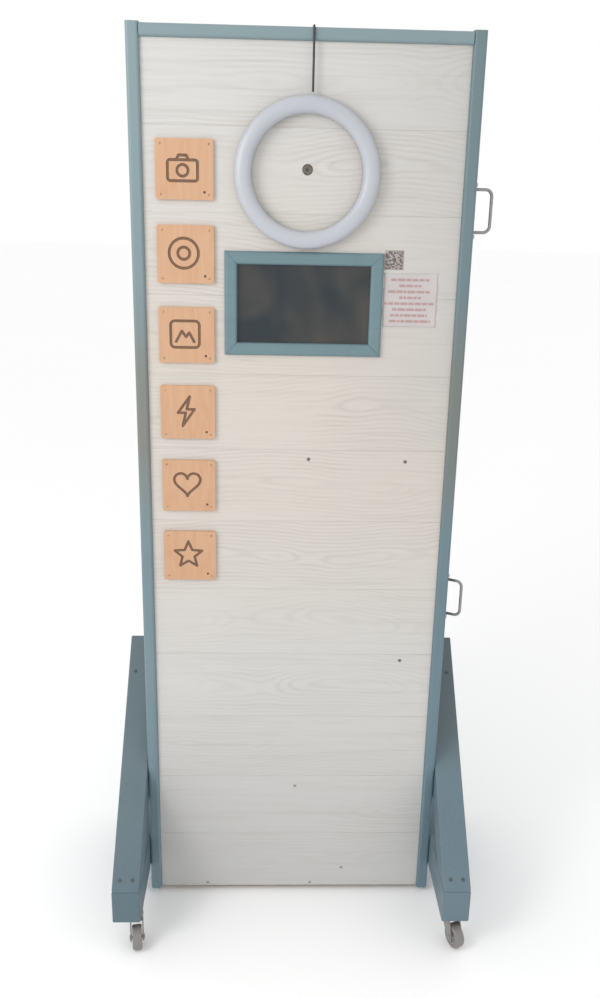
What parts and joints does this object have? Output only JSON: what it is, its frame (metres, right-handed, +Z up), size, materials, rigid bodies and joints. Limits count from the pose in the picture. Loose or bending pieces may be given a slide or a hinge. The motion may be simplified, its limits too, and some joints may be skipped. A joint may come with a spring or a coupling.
{
  "type": "photo booth",
  "caption": "Tall plank-clad photo booth cabinet on castored side legs, with ring light, camera port, framed screen and rear door.",
  "frame": {"origin": "on the floor under the middle of the booth", "axes": "+X to the right seen from the front, -Y out of the clad front, +Z up"},
  "size_m": [0.749, 0.515, 1.825],
  "materials": {
    "trim_paint": "satin blue paint on wood",
    "leg_paint": "blue paint on timber",
    "ply": "bare plywood",
    "plank_boards": "white-washed boards",
    "tile_ply": "sealed plywood",
    "screen_glass": "dark display glass",
    "lens_glass": "coated glass",
    "black_plastic": "textured black",
    "bracket_steel": "zinc plated",
    "ring_plastic": "white",
    "ring_diffuser": "frosted white",
    "led_board": "white board",
    "cord_rubber": "matte",
    "screw_brass": "dull",
    "screw_dark": "oxidised",
    "card_paper": "printed card",
    "sticker_paper": "printed sticker",
    "handle_wire": "satin nickel",
    "caster_steel": "zinc plated",
    "wheel_rubber": "grey tyre",
    "strip_plastic": "white",
    "rocker_plastic": "red"
  },
  "bodies": {
    "root": {"side_panel_left": "trim_paint", "side_panel_right": "trim_paint", "top_panel": "trim_paint", "bottom_panel": "ply", "front_backing": "ply", "cladding_planks": "plank_boards", "stile_left": "trim_paint", "stile_right": "trim_paint", "top_rail": "trim_paint", "screen_frame": "trim_paint", "display_panel": "screen_glass", "display_housing": "black_plastic", "display_brackets": "bracket_steel", "ring_light_housing": "ring_plastic", "ring_light_diffuser": "ring_diffuser", "ring_light_leds": "led_board", "ring_light_pads": "cord_rubber", "ring_light_cord": "cord_rubber", "cord_clips": "black_plastic", "cable_grommet": "cord_rubber", "camera_body": "black_plastic", "camera_lens": "lens_glass", "camera_bracket": "bracket_steel", "tile_1": "tile_ply", "tile_2": "tile_ply", "tile_3": "tile_ply", "tile_4": "tile_ply", "tile_5": "tile_ply", "tile_6": "tile_ply", "tile_screws": "screw_brass", "cladding_screws": "screw_dark", "notice_card": "card_paper", "code_sticker": "sticker_paper", "handle_eyes_upper": "bracket_steel", "handle_eyes_lower": "bracket_steel", "base_rail_left": "leg_paint", "base_rail_right": "leg_paint", "brace_left": "leg_paint", "brace_right": "leg_paint", "leg_screws": "screw_dark", "caster_plates": "caster_steel", "rear_caster_forks": "caster_steel", "shelf": "ply", "mini_computer": "black_plastic", "power_adapter": "black_plastic", "power_strip": "strip_plastic", "power_inlet": "black_plastic", "lock_keeper": "bracket_steel", "hinge_fixed_leaves": "bracket_steel"},
    "door": {"rear_door": "trim_paint", "hinge_moving_leaves": "bracket_steel", "lock_body": "bracket_steel"},
    "lock": {"lock_cam": "bracket_steel"},
    "rocker": {"rocker_switch": "rocker_plastic"},
    "front_left_caster": {"front_left_fork": "caster_steel"},
    "front_right_caster": {"front_right_fork": "caster_steel"},
    "front_left_roller": {"front_left_wheel": "wheel_rubber"},
    "front_right_roller": {"front_right_wheel": "wheel_rubber"},
    "upper_handle": {"handle_upper": "handle_wire"},
    "lower_handle": {"handle_lower": "handle_wire"},
    "rear_left_roller": {"rear_left_wheel": "wheel_rubber"},
    "rear_right_roller": {"rear_right_wheel": "wheel_rubber"}
  },
  "joints": [
    {"name": "upper_handle_swing", "type": "hinge", "parent": "root", "child": "upper_handle", "pos_m": [0.3204, -0.034, 1.509], "axis": [0, 0, 1], "range_deg": [-90, 90]},
    {"name": "lower_handle_swing", "type": "hinge", "parent": "root", "child": "lower_handle", "pos_m": [0.3204, -0.034, 0.728], "axis": [0, 0, 1], "range_deg": [-62, 118]},
    {"name": "door_hinge", "type": "hinge", "parent": "root", "child": "door", "pos_m": [0.321, 0.2335, 0.9], "axis": [0, 0, -1], "range_deg": [0, 105]},
    {"name": "lock_turn", "type": "hinge", "parent": "door", "child": "lock", "pos_m": [-0.262, 0.2338, 1], "axis": [0, 1, 0], "range_deg": [0, 90]},
    {"name": "rocker_tilt", "type": "hinge", "parent": "root", "child": "rocker", "pos_m": [0.04, 0.061, 1.175], "axis": [1, 0, 0], "range_deg": [0, 16]},
    {"name": "front_left_swivel", "type": "hinge", "parent": "root", "child": "front_left_caster", "pos_m": [-0.33, -0.21, 0.06], "axis": [0, 0, 1], "continuous": true},
    {"name": "front_right_swivel", "type": "hinge", "parent": "root", "child": "front_right_caster", "pos_m": [0.342, -0.21, 0.06], "axis": [0, 0, 1], "continuous": true},
    {"name": "front_left_spin", "type": "hinge", "parent": "front_left_caster", "child": "front_left_roller", "pos_m": [-0.32656, -0.23173, 0.025], "axis": [0.9877, 0.1564, 0], "continuous": true},
    {"name": "front_right_spin", "type": "hinge", "parent": "front_right_caster", "child": "front_right_roller", "pos_m": [0.35024, -0.2304, 0.025], "axis": [0.9272, 0.3746, 0], "continuous": true},
    {"name": "rear_left_spin", "type": "hinge", "parent": "root", "child": "rear_left_roller", "pos_m": [-0.3455, 0.186, 0.025], "axis": [1, 0, 0], "continuous": true},
    {"name": "rear_right_spin", "type": "hinge", "parent": "root", "child": "rear_right_roller", "pos_m": [0.3455, 0.186, 0.025], "axis": [1, 0, 0], "continuous": true}
  ]
}
